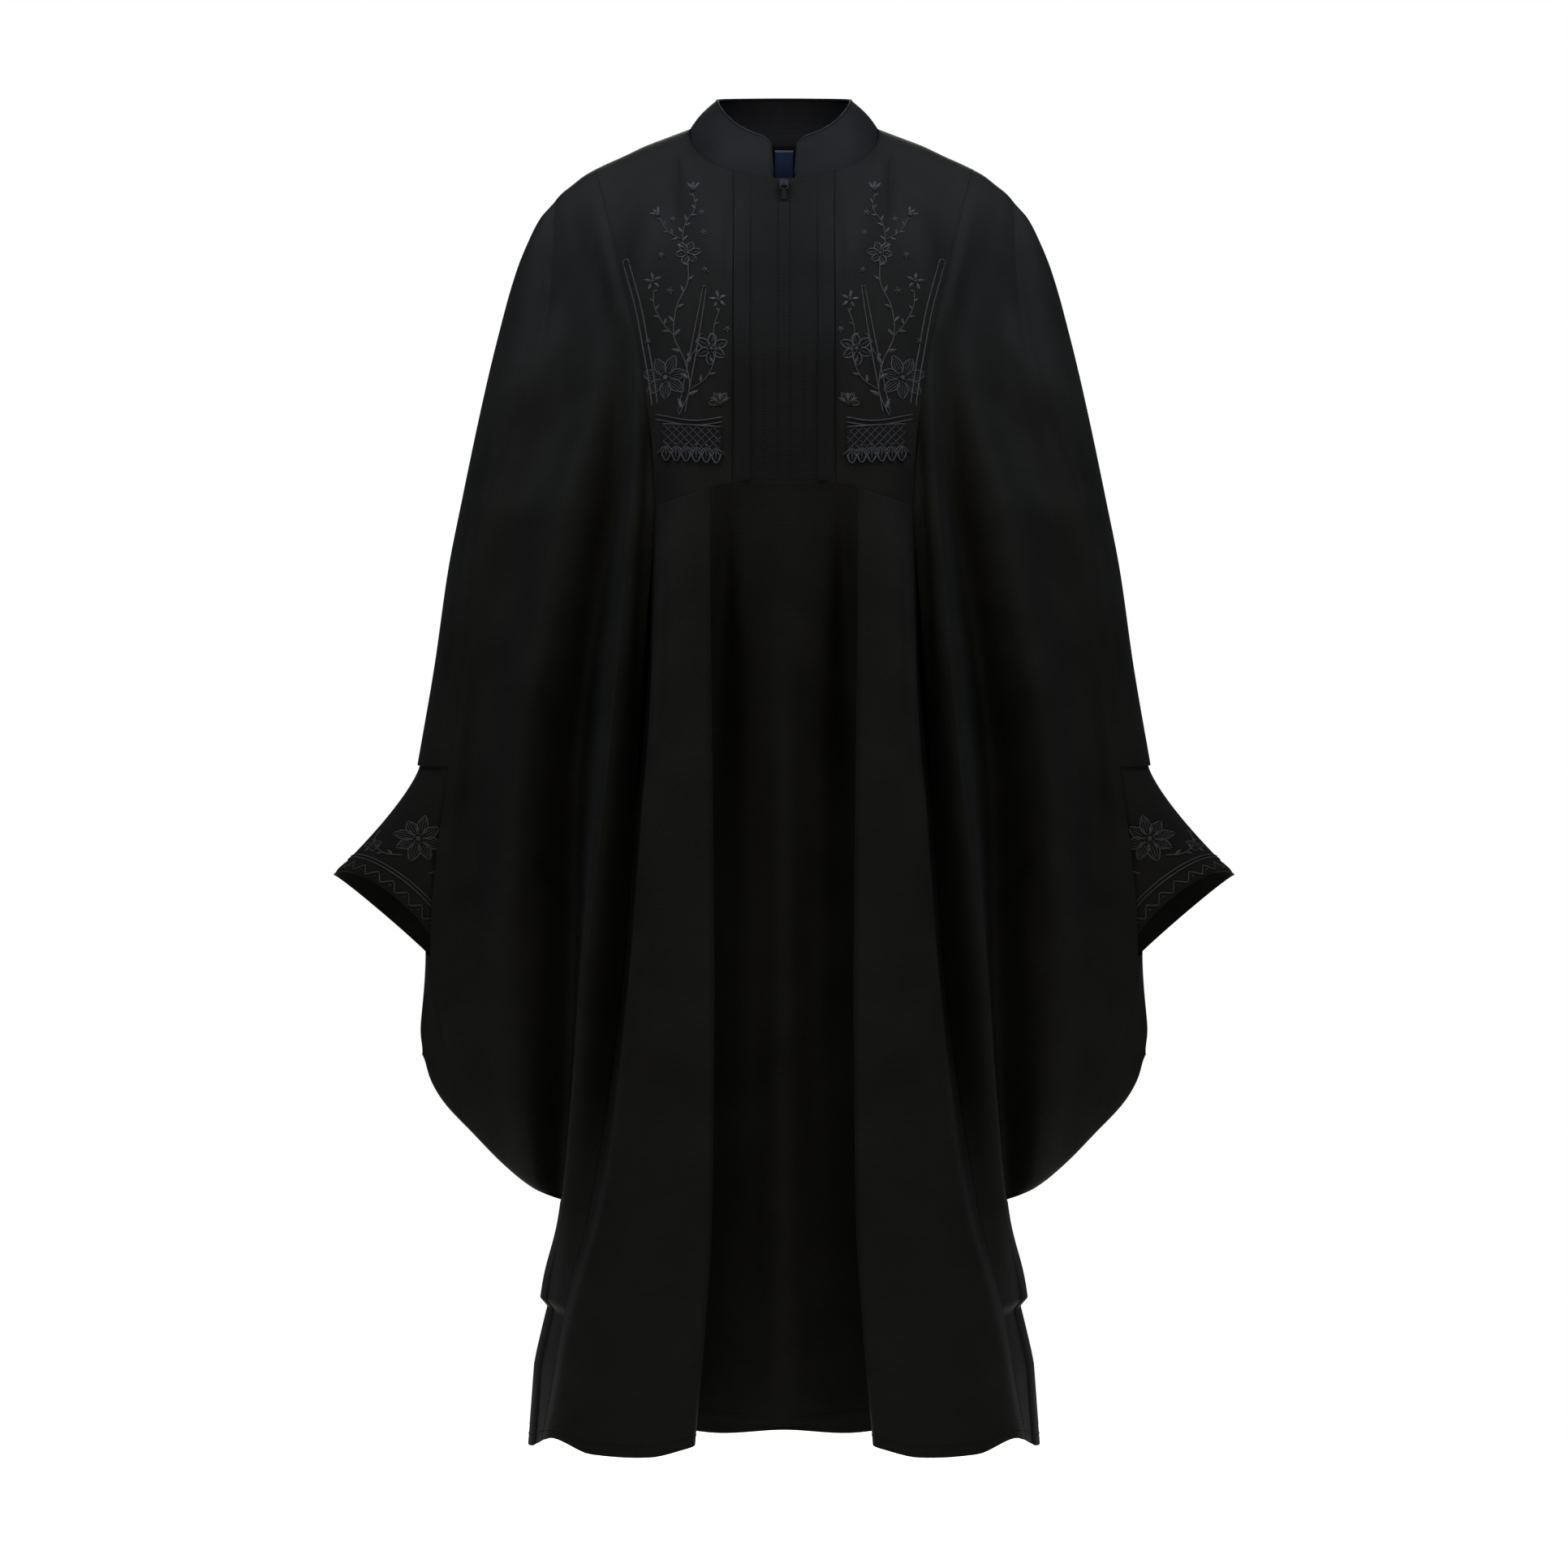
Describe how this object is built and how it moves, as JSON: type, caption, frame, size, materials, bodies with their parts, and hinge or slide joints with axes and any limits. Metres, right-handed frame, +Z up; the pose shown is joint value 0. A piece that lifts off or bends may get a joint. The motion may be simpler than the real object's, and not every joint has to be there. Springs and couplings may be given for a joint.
{
  "type": "manteau",
  "caption": "Long black crepe manteau with batwing sleeves, flared cuffs, embroidered yoke, concealed front zip and pleated skirt, filled out and hollow.",
  "frame": {"origin": "middle of the neck at the height of the shoulders, where the wearer's shoulders hold the garment", "axes": "+Z up, -Y the front, +X towards the wearer's left sleeve"},
  "size_m": [0.846, 0.409, 1.2924],
  "materials": {
    "black_crepe": "matt fluid crepe, near black",
    "lace_trim": "black corded lace",
    "label_cloth": "plain dark blue woven tape",
    "black_metal": "black lacquered zinc"
  },
  "bodies": {
    "garment": {"side_front_left": "black_crepe", "side_front_right": "black_crepe", "yoke_left": "black_crepe", "yoke_right": "black_crepe", "placket_left": "black_crepe", "placket_right": "black_crepe", "front_skirt_left": "black_crepe", "front_skirt_right": "black_crepe", "centre_panel": "black_crepe", "back": "black_crepe", "collar": "black_crepe", "cuff_left": "black_crepe", "cuff_right": "black_crepe", "trim_left": "lace_trim", "trim_right": "lace_trim", "neck_label": "label_cloth", "zip_slider": "black_metal"},
    "pull": {"zip_pull": "black_metal"}
  },
  "joints": [
    {"name": "zip_pull_hinge", "type": "hinge", "parent": "garment", "child": "pull", "pos_m": [0, -0.08851, -0.05912], "axis": [-1, 0, 0], "range_deg": [0, 165]}
  ]
}
